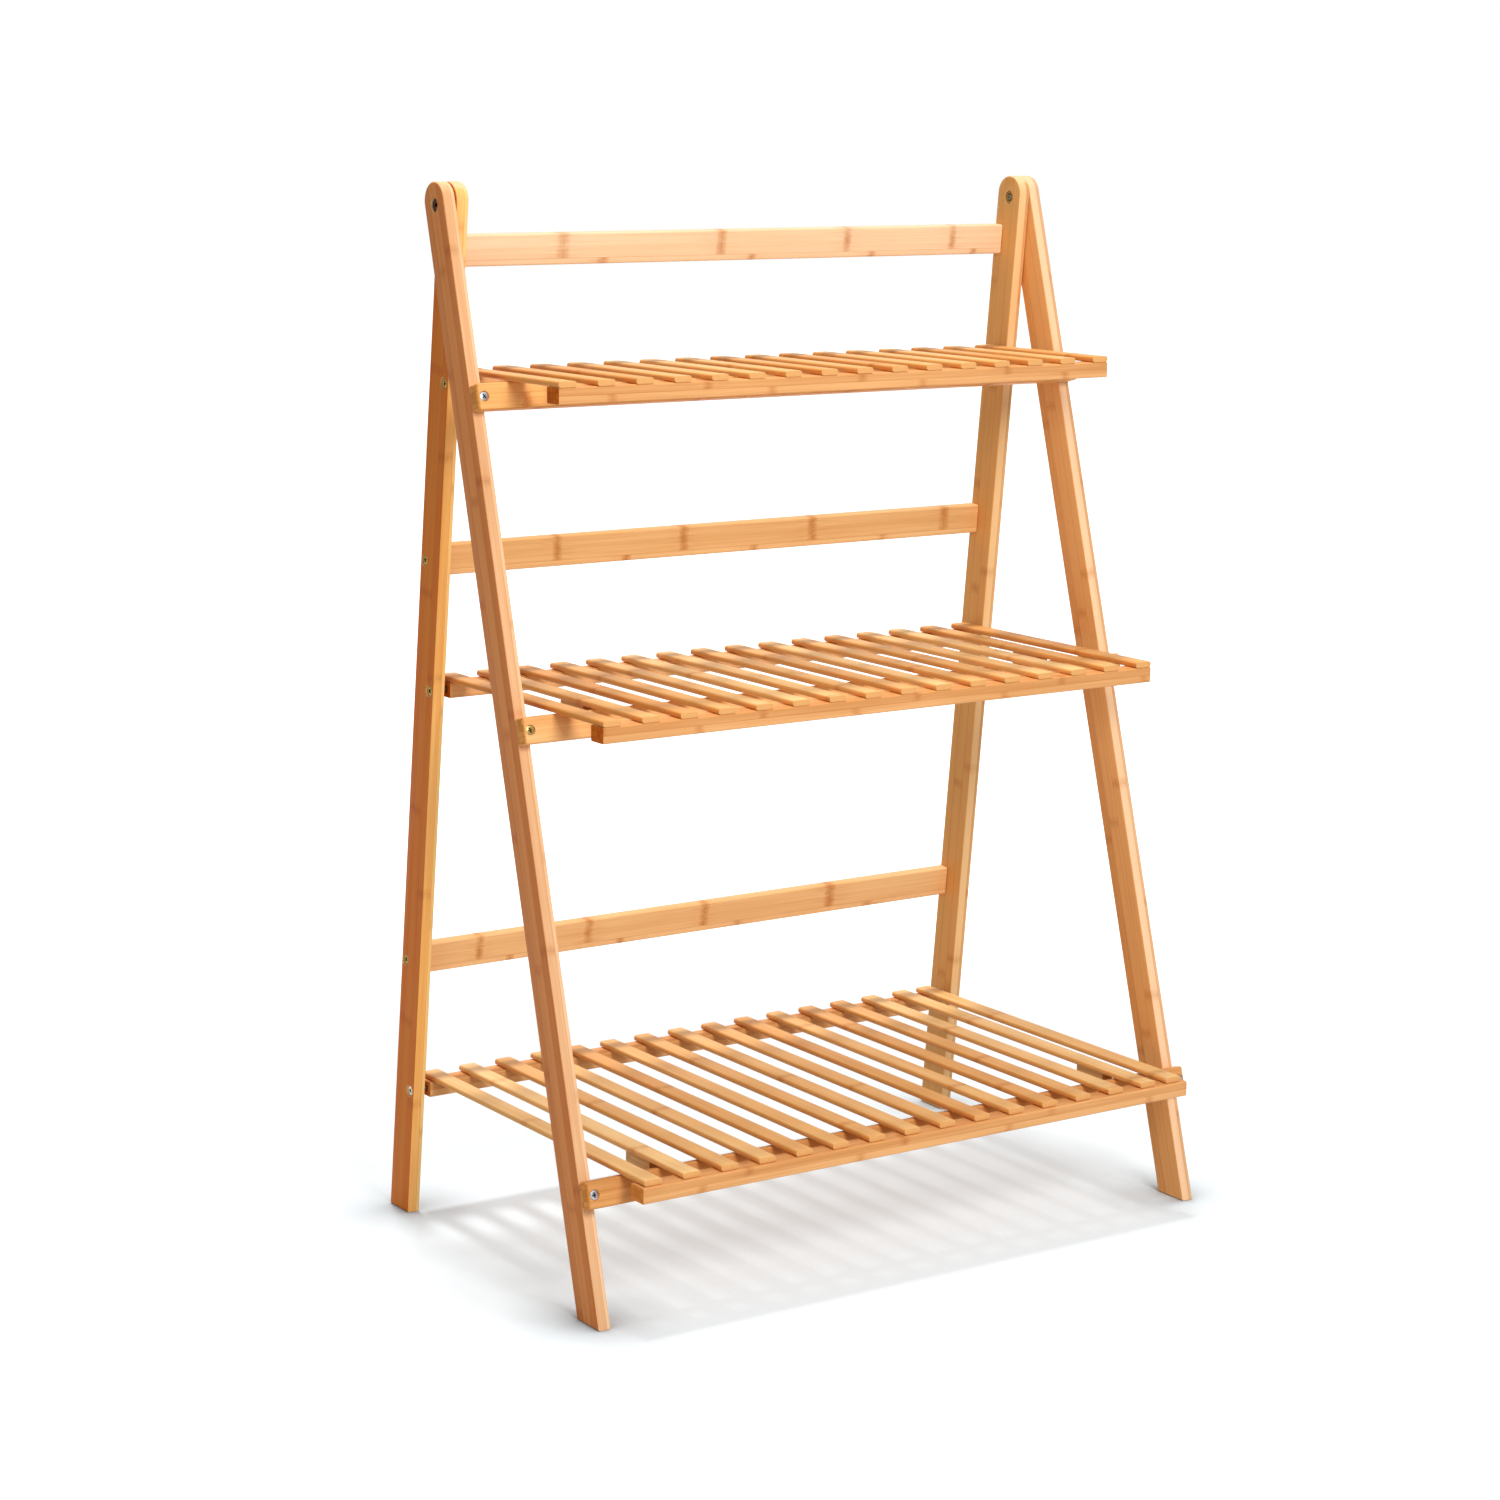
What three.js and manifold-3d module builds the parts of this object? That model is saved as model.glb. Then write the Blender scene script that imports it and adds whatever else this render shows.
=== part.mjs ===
// Folding three-tier plant stand of bamboo boards, in millimetres.
// +Z is up, the front faces -Y, and the floor is at z = 0.
import * as THREE from 'three';
import { mergeVertices } from 'three/addons/utils/BufferGeometryUtils.js';
import Module from 'manifold-3d';

const wasm = await Module();
wasm.setup();

// ---- frame ----
const overallWidth = 672;      // outer face to outer face of the front legs
const pivotHeight = 944;       // top hinge above the floor
const legWidth = 34;           // seen from the side
const legThick = 12.5;
const legTopRise = 3.7;        // centre of the rounded top above the hinge
const legEdge = 1.5;           // rounding of the leg's long edges
const legSideGap = 0.5;        // between a front leg and the rear leg beside it
const frontLean = 15.5;        // degrees from upright
const rearLean = 5.7;          // degrees from upright
const contactGap = 0.3;        // left between pieces that touch or are glued
const cutOver = 1;             // how far a cut runs past the face it opens
const boardEndEdge = 1;        // rounding round the ends of the cross and back rails

// ---- rails of the two frames ----
const crossRailHeight = 24;
const crossRailThick = 13.7;
const crossRailEdge = 2;
const backRailHeight = 28.5;
const backRailThick = 12;
const backRailEdge = 2;
const backRailSetback = 4.5;   // its front face behind the middle of the rear leg
const backRailDrops = { top: 42, mid: 323.3, low: 704.6 };  // hinge to rail centre, along the leg

// ---- shelves ----
const shelfSideGap = 5.5;      // between a shelf's end and the rear leg
const slatCount = 16;
const slatWidth = 18;
const slatThick = 5.5;
const slatEdge = 2.1;
const slatSeat = 0.4;          // depth that a glued slat is let into the front rail
const shelfRailDepth = 20;
const shelfRailHeight = 14.5;
const shelfRailEdge = 1.5;
const shelfRailEndEdge = 0.8;
const pivotFromRailBack = 12;  // shelf hinge ahead of the rear rail's back face
const pivotSetForward = 9;     // shelf hinge ahead of the middle of the rear leg
// drop: from the top hinge down to the slats' top, reach: from the shelf's hinge to its front,
// slatShift: slats to the right of the even spacing, lastSlatInset: right end to the last slat
const shelves = {
  top: { drop: 145, reach: 166.3, slatSetback: 0.3, slatShift: 0, lastSlatInset: 0 },
  mid: { drop: 427, reach: 267.7, slatSetback: 0.3, slatShift: 0, lastSlatInset: 0 },
  low: { drop: 812, reach: 373.3, slatSetback: 3, slatShift: 3, lastSlatInset: 5.6 },
};
const blockWidth = 12.5;
const blockLength = 38;
const blockHeight = 13;
const blockEdge = 0.8;
const blockRunGap = 6;         // stop block behind the cross rail

// ---- fasteners ----
// through: boards and gaps passed before the last board, bite: depth in that board
const railScrew = {
  headRadius: 4.2, shankRadius: 2, recess: 0.5, through: crossRailThick + contactGap, bite: 17,
};
const legScrew = {
  headRadius: 4.5, shankRadius: 2.2, recess: 1, through: legThick + contactGap, bite: 24,
};
const shelfScrew = {
  headRadius: 4.5, shankRadius: 2.5, recess: 1, through: legThick + shelfSideGap, bite: 21,
};
const headRimHeight = 0.5;           // straight rim of a countersunk head
const tipRadius = 0.8;
const tipLength = 4;
const crossSlotWidth = 1.1;
const crossSlotLength = 4.8;
const crossSlotDepth = 1.6;
const boltHeadRadius = 6;
const boltHeadThick = 3;
const boltHeadEdge = 0.5;
const boltRadius = 3;
const boltRecess = 1.8;        // head below the front leg's outer face
const boltEndInset = 0.7;      // bolt end inside the rear leg's inner face
const socketRadius = 2.1;      // six-sided sockets in the bolt's two ends
const socketDepth = 1.8;
const nutRadius = 5.9;
const nutThick = 3.6;
const nutInset = 0.6;
const nutEdge = 0.6;
const turnSteps = 16;          // facets round a turned piece
const legTopSteps = 7;         // half the facets round a leg's top

// ---- derived from the values above ----
const radians = Math.PI / 180;
const frontTilt = -frontLean * radians;
const rearTilt = rearLean * radians;
const halfLeg = legWidth / 2;
const frontLegOuter = overallWidth / 2;
const frontLegInner = frontLegOuter - legThick;
const rearLegOuter = frontLegInner - legSideGap;
const rearLegInner = rearLegOuter - legThick;
const shelfHalf = rearLegInner - shelfSideGap;
const slatPitch = (2 * shelfHalf - slatWidth) / (slatCount - 1);
const crossRailBack = -halfLeg - contactGap;
const crossRailFront = crossRailBack - crossRailThick;
const legScrewX = (frontLegInner + frontLegOuter) / 2;
const backRailMiddle = backRailSetback + backRailThick / 2;
const bothLegs = 2 * legThick + legSideGap;   // from a front leg's outer face to the inside
const depthShift = frameDepthShift();

// A point of a leaning frame, measured from the top hinge: rearward across the leg, up along it.
function framePoint(tilt, rearward, upward) {
  return {
    y: rearward * Math.cos(tilt) - upward * Math.sin(tilt),
    z: pivotHeight + rearward * Math.sin(tilt) + upward * Math.cos(tilt),
  };
}

// Height up the leg at which a leaning line meets a level plane.
function frameRise(tilt, rearward, level) {
  return (level - pivotHeight - rearward * Math.sin(tilt)) / Math.cos(tilt);
}

function shelfPlan(tier) {
  const shelf = shelves[tier];
  const slatTop = pivotHeight - shelf.drop;
  const slatBottom = slatTop - slatThick;
  const hingeZ = slatBottom - shelfRailHeight / 2;
  const hingeRise = frameRise(rearTilt, -pivotSetForward, hingeZ);
  const hingeY = framePoint(rearTilt, -pivotSetForward, hingeRise).y;
  const railRise = frameRise(frontTilt, crossRailFront, slatBottom - contactGap);
  const railCorner = framePoint(frontTilt, crossRailBack, railRise).y;
  return {
    slatTop,
    slatBottom,
    hingeY,
    hingeZ,
    railRise,
    back: hingeY + pivotFromRailBack,
    front: hingeY - shelf.reach,
    slatFront: hingeY - shelf.reach + shelf.slatSetback,
    blockFront: railCorner + blockRunGap,
    slatShift: shelf.slatShift,
    lastSlatInset: shelf.lastSlatInset,
  };
}

// Moves the stand so that the middle of its depth is at y = 0.
function frameDepthShift() {
  const rearFoot = framePoint(rearTilt, halfLeg, frameRise(rearTilt, halfLeg, 0)).y;
  const frontFoot = framePoint(frontTilt, -halfLeg, frameRise(frontTilt, -halfLeg, 0)).y;
  const fronts = Object.keys(shelves).map((tier) => shelfPlan(tier).front);
  return -(rearFoot + Math.min(frontFoot, ...fronts)) / 2;
}

// ---- solids ----
function toSolid(geometry) {
  const bare = geometry.clone();
  bare.deleteAttribute('normal');
  bare.deleteAttribute('uv');
  const merged = mergeVertices(bare, 1e-4);
  return new wasm.Manifold(new wasm.Mesh({
    numProp: 3,
    vertProperties: new Float32Array(merged.attributes.position.array),
    triVerts: new Uint32Array(merged.index.array),
  }));
}

function toGeometry(solid) {
  const data = solid.getMesh();
  const geometry = new THREE.BufferGeometry();
  geometry.setAttribute('position', new THREE.BufferAttribute(data.vertProperties, 3));
  geometry.setIndex(new THREE.BufferAttribute(data.triVerts, 1));
  geometry.computeVertexNormals();
  return geometry;
}

function placed(geometry, matrix) {
  return toSolid(geometry.clone().applyMatrix4(matrix));
}

// Coordinates of a leaning frame: x across, y rearward, z up along the leg.
function frameMatrix(tilt) {
  const shift = new THREE.Matrix4().makeTranslation(0, depthShift, pivotHeight);
  return shift.multiply(new THREE.Matrix4().makeRotationX(tilt));
}

function roundedRectangle(lowU, highU, lowV, highV, radius) {
  const shape = new THREE.Shape();
  shape.moveTo(lowU + radius, lowV);
  shape.lineTo(highU - radius, lowV);
  shape.absarc(highU - radius, lowV + radius, radius, -Math.PI / 2, 0, false);
  shape.lineTo(highU, highV - radius);
  shape.absarc(highU - radius, highV - radius, radius, 0, Math.PI / 2, false);
  shape.lineTo(lowU + radius, highV);
  shape.absarc(lowU + radius, highV - radius, radius, Math.PI / 2, Math.PI, false);
  shape.lineTo(lowU, lowV + radius);
  shape.absarc(lowU + radius, lowV + radius, radius, Math.PI, 1.5 * Math.PI, false);
  return shape;
}

// Outline in the y-z plane, carried from one x to another, with rounded end edges.
function extrudedAcross(shape, lowX, highX, endEdge, curveSegments = 1) {
  const geometry = new THREE.ExtrudeGeometry(shape, {
    depth: highX - lowX - 2 * endEdge,
    curveSegments,
    bevelEnabled: endEdge > 0,
    bevelThickness: endEdge,
    bevelSize: endEdge,
    bevelOffset: -endEdge,
    bevelSegments: 2,
  });
  geometry.translate(0, 0, lowX + endEdge);
  const turn = new THREE.Matrix4().makeBasis(
    new THREE.Vector3(0, 1, 0), new THREE.Vector3(0, 0, 1), new THREE.Vector3(1, 0, 0));
  return geometry.applyMatrix4(turn);
}

// Outline in the x-z plane, carried from the back to the front.
function extrudedForward(shape, backY, frontY) {
  const geometry = new THREE.ExtrudeGeometry(shape, {
    depth: backY - frontY, curveSegments: 1, bevelEnabled: false,
  });
  const turn = new THREE.Matrix4().makeBasis(
    new THREE.Vector3(1, 0, 0), new THREE.Vector3(0, 0, 1), new THREE.Vector3(0, -1, 0));
  geometry.applyMatrix4(turn);
  return geometry.translate(0, backY, 0);
}

// Body of revolution about z from a list of [radius, height] rings, highest ring first.
function turned(rings) {
  const positions = [0, 0, rings[0][1]];
  for (const [radius, height] of rings) {
    for (let step = 0; step < turnSteps; step += 1) {
      const angle = (2 * Math.PI * step) / turnSteps;
      positions.push(radius * Math.cos(angle), radius * Math.sin(angle), height);
    }
  }
  positions.push(0, 0, rings[rings.length - 1][1]);
  const bottom = positions.length / 3 - 1;
  const faces = [];
  for (let step = 0; step < turnSteps; step += 1) {
    const next = (step + 1) % turnSteps;
    faces.push(0, 1 + step, 1 + next);
    for (let ring = 0; ring < rings.length - 1; ring += 1) {
      const upper = 1 + ring * turnSteps;
      const lower = upper + turnSteps;
      faces.push(upper + step, lower + step, lower + next);
      faces.push(upper + step, lower + next, upper + next);
    }
    const last = 1 + (rings.length - 1) * turnSteps;
    faces.push(bottom, last + next, last + step);
  }
  const geometry = new THREE.BufferGeometry();
  geometry.setAttribute('position', new THREE.Float32BufferAttribute(positions, 3));
  geometry.setIndex(faces);
  return geometry;
}

// Turns a piece made about z so that its top faces the given way, with the top at the given point.
function facing(direction, point) {
  const turn = new THREE.Quaternion().setFromUnitVectors(new THREE.Vector3(0, 0, 1), direction);
  const shift = new THREE.Matrix4().makeTranslation(point.x, point.y, point.z);
  return shift.multiply(new THREE.Matrix4().makeRotationFromQuaternion(turn));
}

// ---- fasteners and the holes for them ----
function screwLength(size) {
  return size.through + size.bite - size.recess;
}

function coneEnd(size) {
  return -headRimHeight - (size.headRadius - size.shankRadius);
}

function screwBody(size, matrix) {
  const length = screwLength(size);
  const body = placed(turned([
    [size.headRadius, 0],
    [size.headRadius, -headRimHeight],
    [size.shankRadius, coneEnd(size)],
    [size.shankRadius, tipLength - length],
    [tipRadius, -length],
  ]), matrix);
  const across = new THREE.BoxGeometry(crossSlotLength, crossSlotWidth, 2 * crossSlotDepth);
  const along = new THREE.BoxGeometry(crossSlotWidth, crossSlotLength, 2 * crossSlotDepth);
  const slots = placed(across, matrix).add(placed(along, matrix));
  return body.subtract(slots);
}

function screwHole(size, matrix) {
  return placed(turned([
    [size.headRadius + contactGap, size.recess + cutOver],
    [size.headRadius + contactGap, -headRimHeight],
    [size.shankRadius + contactGap, coneEnd(size)],
    [size.shankRadius + contactGap, -screwLength(size) - contactGap],
  ]), matrix);
}

function roundBar(radius, matrix, top, bottom) {
  return placed(turned([[radius, top], [radius, bottom]]), matrix);
}

function socketCut(matrix) {
  const prism = new THREE.CylinderGeometry(socketRadius, socketRadius, 2 * socketDepth, 6);
  prism.rotateX(Math.PI / 2);
  return placed(prism, matrix);
}

// Where each fastener sits: its head's top and the way it faces.
function topHingeFrame(side) {
  const x = side * (frontLegOuter - boltRecess);
  return facing(new THREE.Vector3(side, 0, 0), { x, y: depthShift, z: pivotHeight });
}

function crossScrewFrame(tier, side) {
  const matrix = frameMatrix(frontTilt);
  const upward = shelfPlan(tier).railRise - crossRailHeight / 2;
  const head = { x: side * legScrewX, y: crossRailFront + railScrew.recess, z: upward };
  return matrix.multiply(facing(new THREE.Vector3(0, -1, 0), head));
}

function backScrewFrame(tier, side) {
  const matrix = frameMatrix(rearTilt);
  const x = side * (rearLegOuter - legScrew.recess);
  const head = { x, y: backRailMiddle, z: -backRailDrops[tier] };
  return matrix.multiply(facing(new THREE.Vector3(side, 0, 0), head));
}

function shelfScrewFrame(tier, side) {
  const plan = shelfPlan(tier);
  const x = side * (rearLegOuter - shelfScrew.recess);
  return facing(new THREE.Vector3(side, 0, 0), { x, y: plan.hingeY + depthShift, z: plan.hingeZ });
}

function hingeBolt(side) {
  const matrix = topHingeFrame(side);
  const end = -(frontLegOuter - boltRecess - rearLegInner - boltEndInset);
  const body = placed(turned([
    [boltHeadRadius - boltHeadEdge, 0],
    [boltHeadRadius, -boltHeadEdge],
    [boltHeadRadius, -boltHeadThick],
    [boltRadius, -boltHeadThick],
    [boltRadius, end],
  ]), matrix);
  const endMatrix = matrix.clone().multiply(new THREE.Matrix4().makeTranslation(0, 0, end));
  return body.subtract(socketCut(matrix)).subtract(socketCut(endMatrix));
}

function hingeNut(side) {
  const inner = rearLegInner + nutInset;
  const matrix = facing(new THREE.Vector3(side, 0, 0), {
    x: side * (inner + nutThick), y: depthShift, z: pivotHeight });
  const ring = placed(turned([
    [nutRadius, 0],
    [nutRadius, nutEdge - nutThick],
    [nutRadius - nutEdge, -nutThick],
  ]), matrix);
  return ring.subtract(roundBar(boltRadius + contactGap, matrix, cutOver, -nutThick - cutOver));
}

// ---- frame pieces ----
function legOutline(tilt) {
  const shape = new THREE.Shape();
  shape.moveTo(-halfLeg, frameRise(tilt, -halfLeg, 0));
  shape.lineTo(halfLeg, frameRise(tilt, halfLeg, 0));
  shape.lineTo(halfLeg, legTopRise);
  shape.absarc(0, legTopRise, halfLeg, 0, Math.PI, false);
  shape.closePath();
  return shape;
}

function frontLeg(side) {
  const low = side > 0 ? frontLegInner : -frontLegOuter;
  const outline = legOutline(frontTilt);
  const board = extrudedAcross(outline, low, low + legThick, legEdge, legTopSteps);
  let leg = placed(board, frameMatrix(frontTilt));
  const hinge = topHingeFrame(side);
  const pocket = -boltHeadThick - contactGap;
  leg = leg.subtract(roundBar(boltHeadRadius + contactGap, hinge, boltRecess + cutOver, pocket));
  leg = leg.subtract(roundBar(boltRadius + contactGap, hinge, 0, -bothLegs));
  for (const tier of Object.keys(shelves)) {
    leg = leg.subtract(screwHole(railScrew, crossScrewFrame(tier, side)));
  }
  return leg;
}

function rearLeg(side) {
  const low = side > 0 ? rearLegInner : -rearLegOuter;
  const outline = legOutline(rearTilt);
  const board = extrudedAcross(outline, low, low + legThick, legEdge, legTopSteps);
  let leg = placed(board, frameMatrix(rearTilt));
  const hinge = topHingeFrame(side);
  leg = leg.subtract(roundBar(boltRadius + contactGap, hinge, 0, -bothLegs));
  const inner = facing(new THREE.Vector3(-side, 0, 0), {
    x: side * rearLegInner, y: depthShift, z: pivotHeight });
  const pocket = nutInset + nutThick + contactGap;
  leg = leg.subtract(roundBar(nutRadius + contactGap, inner, cutOver, -pocket));
  for (const tier of Object.keys(shelves)) {
    leg = leg.subtract(screwHole(legScrew, backScrewFrame(tier, side)));
    leg = leg.subtract(screwHole(shelfScrew, shelfScrewFrame(tier, side)));
  }
  return leg;
}

function crossRail(tier) {
  const top = shelfPlan(tier).railRise;
  const outline = roundedRectangle(
    crossRailFront, crossRailBack, top - crossRailHeight, top, crossRailEdge);
  const board = extrudedAcross(outline, -frontLegOuter, frontLegOuter, boardEndEdge);
  let rail = placed(board, frameMatrix(frontTilt));
  for (const side of [-1, 1]) {
    rail = rail.subtract(screwHole(railScrew, crossScrewFrame(tier, side)));
  }
  return rail;
}

function backRail(tier) {
  const middle = -backRailDrops[tier];
  const outline = roundedRectangle(
    backRailSetback, backRailSetback + backRailThick,
    middle - backRailHeight / 2, middle + backRailHeight / 2, backRailEdge);
  const end = rearLegInner - contactGap;
  let rail = placed(extrudedAcross(outline, -end, end, boardEndEdge), frameMatrix(rearTilt));
  for (const side of [-1, 1]) {
    rail = rail.subtract(screwHole(legScrew, backScrewFrame(tier, side)));
  }
  return rail;
}

// ---- shelf pieces ----
function shelfRail(backY, bottomZ, topZ) {
  const outline = roundedRectangle(backY - shelfRailDepth, backY, bottomZ, topZ, shelfRailEdge);
  const board = extrudedAcross(outline, -shelfHalf, shelfHalf, shelfRailEndEdge);
  return placed(board.translate(0, depthShift, 0), new THREE.Matrix4());
}

function shelfRearRail(tier) {
  const plan = shelfPlan(tier);
  const top = plan.slatBottom - contactGap;
  let rail = shelfRail(plan.back, plan.slatBottom - shelfRailHeight, top);
  for (const side of [-1, 1]) {
    rail = rail.subtract(screwHole(shelfScrew, shelfScrewFrame(tier, side)));
  }
  return rail;
}

function shelfFrontRail(tier, topGap) {
  const plan = shelfPlan(tier);
  const bottom = plan.slatBottom - shelfRailHeight;
  return shelfRail(plan.front + shelfRailDepth, bottom, plan.slatBottom - topGap);
}

function slatCentre(plan, index) {
  const halfSlat = slatWidth / 2;
  if (index === slatCount - 1) return shelfHalf - halfSlat - plan.lastSlatInset;
  return -shelfHalf + halfSlat + index * slatPitch + plan.slatShift;
}

function slat(tier, index) {
  const plan = shelfPlan(tier);
  const middle = slatCentre(plan, index);
  const outline = roundedRectangle(
    middle - slatWidth / 2, middle + slatWidth / 2, plan.slatBottom, plan.slatTop, slatEdge);
  const board = extrudedForward(outline, plan.back + depthShift, plan.slatFront + depthShift);
  return placed(board, new THREE.Matrix4());
}

// The slats of the two upper shelves are glued to their front rail and make one body with it.
function gluedDeck(tier) {
  let deck = shelfFrontRail(tier, -slatSeat);
  for (let index = 0; index < slatCount; index += 1) {
    deck = deck.add(slat(tier, index));
  }
  return deck;
}

function stopBlock(tier, side) {
  const plan = shelfPlan(tier);
  const index = side < 0 ? 1 : slatCount - 2;
  const middle = slatCentre(plan, index);
  const top = plan.slatBottom - contactGap;
  const front = plan.blockFront + depthShift;
  const outline = roundedRectangle(front, front + blockLength, top - blockHeight, top, blockEdge);
  const low = middle - blockWidth / 2;
  return placed(extrudedAcross(outline, low, low + blockWidth, 0), new THREE.Matrix4());
}

// ---- materials ----
function material(name, color, roughness, metalness) {
  return new THREE.MeshStandardMaterial({ name, color, roughness, metalness });
}

const legBamboo = () => material('leg_bamboo', 0xc98f55, 0.5, 0);
const railBamboo = () => material('rail_bamboo', 0xd9a873, 0.5, 0);
const slatBamboo = () => material('slat_bamboo', 0xdfb27c, 0.5, 0);
const brightSteel = () => material('bright_steel', 0xb9bcc0, 0.35, 1);
const darkSteel = () => material('dark_steel', 0x4a443e, 0.45, 1);
const brassMetal = () => material('brass', 0xb08d4c, 0.4, 1);

// ---- the stand ----
const stand = new THREE.Group();
stand.name = 'plant_ladder_stand';

function addPiece(name, solid, surface) {
  const mesh = new THREE.Mesh(toGeometry(solid), surface);
  mesh.name = name;
  stand.add(mesh);
}

const sides = { left: -1, right: 1 };
for (const [word, side] of Object.entries(sides)) {
  addPiece(`front_leg_${word}`, frontLeg(side), legBamboo());
  addPiece(`rear_leg_${word}`, rearLeg(side), legBamboo());
  addPiece(`hinge_bolt_${word}`, hingeBolt(side), darkSteel());
  addPiece(`hinge_nut_${word}`, hingeNut(side), brassMetal());
}
for (const tier of Object.keys(shelves)) {
  addPiece(`cross_rail_${tier}`, crossRail(tier), railBamboo());
  addPiece(`back_rail_${tier}`, backRail(tier), railBamboo());
  addPiece(`shelf_${tier}_rear_rail`, shelfRearRail(tier), railBamboo());
  for (const [word, side] of Object.entries(sides)) {
    const crossFrame = crossScrewFrame(tier, side);
    const backFrame = backScrewFrame(tier, side);
    const shelfFrame = shelfScrewFrame(tier, side);
    addPiece(`cross_rail_${tier}_screw_${word}`, screwBody(railScrew, crossFrame), brightSteel());
    addPiece(`back_rail_${tier}_screw_${word}`, screwBody(legScrew, backFrame), darkSteel());
    addPiece(`shelf_${tier}_pivot_screw_${word}`, screwBody(shelfScrew, shelfFrame), darkSteel());
    addPiece(`shelf_${tier}_stop_block_${word}`, stopBlock(tier, side), railBamboo());
  }
}
addPiece('shelf_top_deck', gluedDeck('top'), slatBamboo());
addPiece('shelf_mid_deck', gluedDeck('mid'), slatBamboo());
addPiece('shelf_low_front_rail', shelfFrontRail('low', contactGap), railBamboo());
for (let index = 0; index < slatCount; index += 1) {
  const number = String(index + 1).padStart(2, '0');
  addPiece(`shelf_low_slat_${number}`, slat('low', index), slatBamboo());
}

export default stand;
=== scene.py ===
import math
import random

import bmesh
import bpy
from mathutils import Matrix, Vector


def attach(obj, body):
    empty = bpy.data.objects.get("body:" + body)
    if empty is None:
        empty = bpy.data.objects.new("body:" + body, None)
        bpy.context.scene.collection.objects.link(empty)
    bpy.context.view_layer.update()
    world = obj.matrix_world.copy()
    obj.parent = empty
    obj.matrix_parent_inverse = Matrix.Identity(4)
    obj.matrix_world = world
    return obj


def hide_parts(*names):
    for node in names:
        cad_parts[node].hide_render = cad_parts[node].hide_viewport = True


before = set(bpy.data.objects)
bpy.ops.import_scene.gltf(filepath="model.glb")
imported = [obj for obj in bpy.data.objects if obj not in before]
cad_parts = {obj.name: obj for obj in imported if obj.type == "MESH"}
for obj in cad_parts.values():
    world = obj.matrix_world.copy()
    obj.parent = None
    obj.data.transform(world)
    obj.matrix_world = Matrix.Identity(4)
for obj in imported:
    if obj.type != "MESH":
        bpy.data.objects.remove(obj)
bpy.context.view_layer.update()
print("frame loaded")

axisX, axisY, axisZ = Vector((1, 0, 0)), Vector((0, 1, 0)), Vector((0, 0, 1))
lean = {"front": 15.5, "rear": 5.7}  # degrees from upright, as in the CAD
tiers = ("top", "mid", "low")
sides = {"left": -1, "right": 1}
slatCount = 16


# lowest and highest corner of a CAD node, measured along a frame's own axes
def extent(node, matrix=Matrix.Identity(4)):
    back = matrix.inverted()
    points = [back @ v.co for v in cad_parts[node].data.vertices]
    low = Vector([min(p[i] for p in points) for i in range(3)])
    high = Vector([max(p[i] for p in points) for i in range(3)])
    return low, high


boltLow, boltHigh = extent("hinge_bolt_left")
pivot = (boltLow + boltHigh) / 2
hingeShift = Matrix.Translation((0, pivot.y, pivot.z))
frontFrame = hingeShift @ Matrix.Rotation(-math.radians(lean["front"]), 4, "X")
rearFrame = hingeShift @ Matrix.Rotation(math.radians(lean["rear"]), 4, "X")
level = Matrix.Identity(4)


# a small helper for materials that adds nodes and joins them in one call
class Nodes:
    def __init__(self, tree):
        self.tree = tree

    def add(self, kind, inputs=None, **settings):
        node = self.tree.nodes.new(kind)
        for name, value in settings.items():
            setattr(node, name, value)
        for key, value in (inputs or {}).items():
            socket = node.inputs[key]
            if isinstance(value, bpy.types.NodeSocket):
                self.tree.links.new(value, socket)
            else:
                socket.default_value = value
        return node

    def math(self, operation, a, b=0.0, clamp=False):
        node = self.add("ShaderNodeMath", {0: a, 1: b}, operation=operation, use_clamp=clamp)
        return node.outputs[0]

    def mix(self, factor, a, b, blend="MIX"):
        node = self.add("ShaderNodeMix", data_type="RGBA", blend_type=blend, clamp_factor=True)
        for key, value in ((0, factor), (6, a), (7, b)):
            if isinstance(value, bpy.types.NodeSocket):
                self.tree.links.new(value, node.inputs[key])
            else:
                node.inputs[key].default_value = value
        return node.outputs[2]

    # 1 where the value is at the near end, 0 at the far end, smooth between
    def fade(self, value, near, far):
        node = self.add(
            "ShaderNodeMapRange",
            {0: value, 1: near, 2: far, 3: 1.0, 4: 0.0},
            interpolation_type="SMOOTHSTEP",
        )
        return node.outputs[0]

    def noise(self, vector, scale, detail=2.0, roughness=0.5):
        stretched = self.add("ShaderNodeVectorMath", {0: vector, 1: scale}, operation="MULTIPLY")
        node = self.add(
            "ShaderNodeTexNoise",
            {"Vector": stretched.outputs[0], "Scale": 1.0, "Detail": detail,
             "Roughness": roughness},
        )
        return node.outputs["Fac"]


# a colour as it shows on a screen, 0 to 255, turned into what a shader takes
def linear(red, green, blue):
    values = []
    for v in (red, green, blue):
        v = v / 255
        values.append(v / 12.92 if v <= 0.04045 else ((v + 0.055) / 1.055) ** 2.4)
    return (*values, 1.0)


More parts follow.
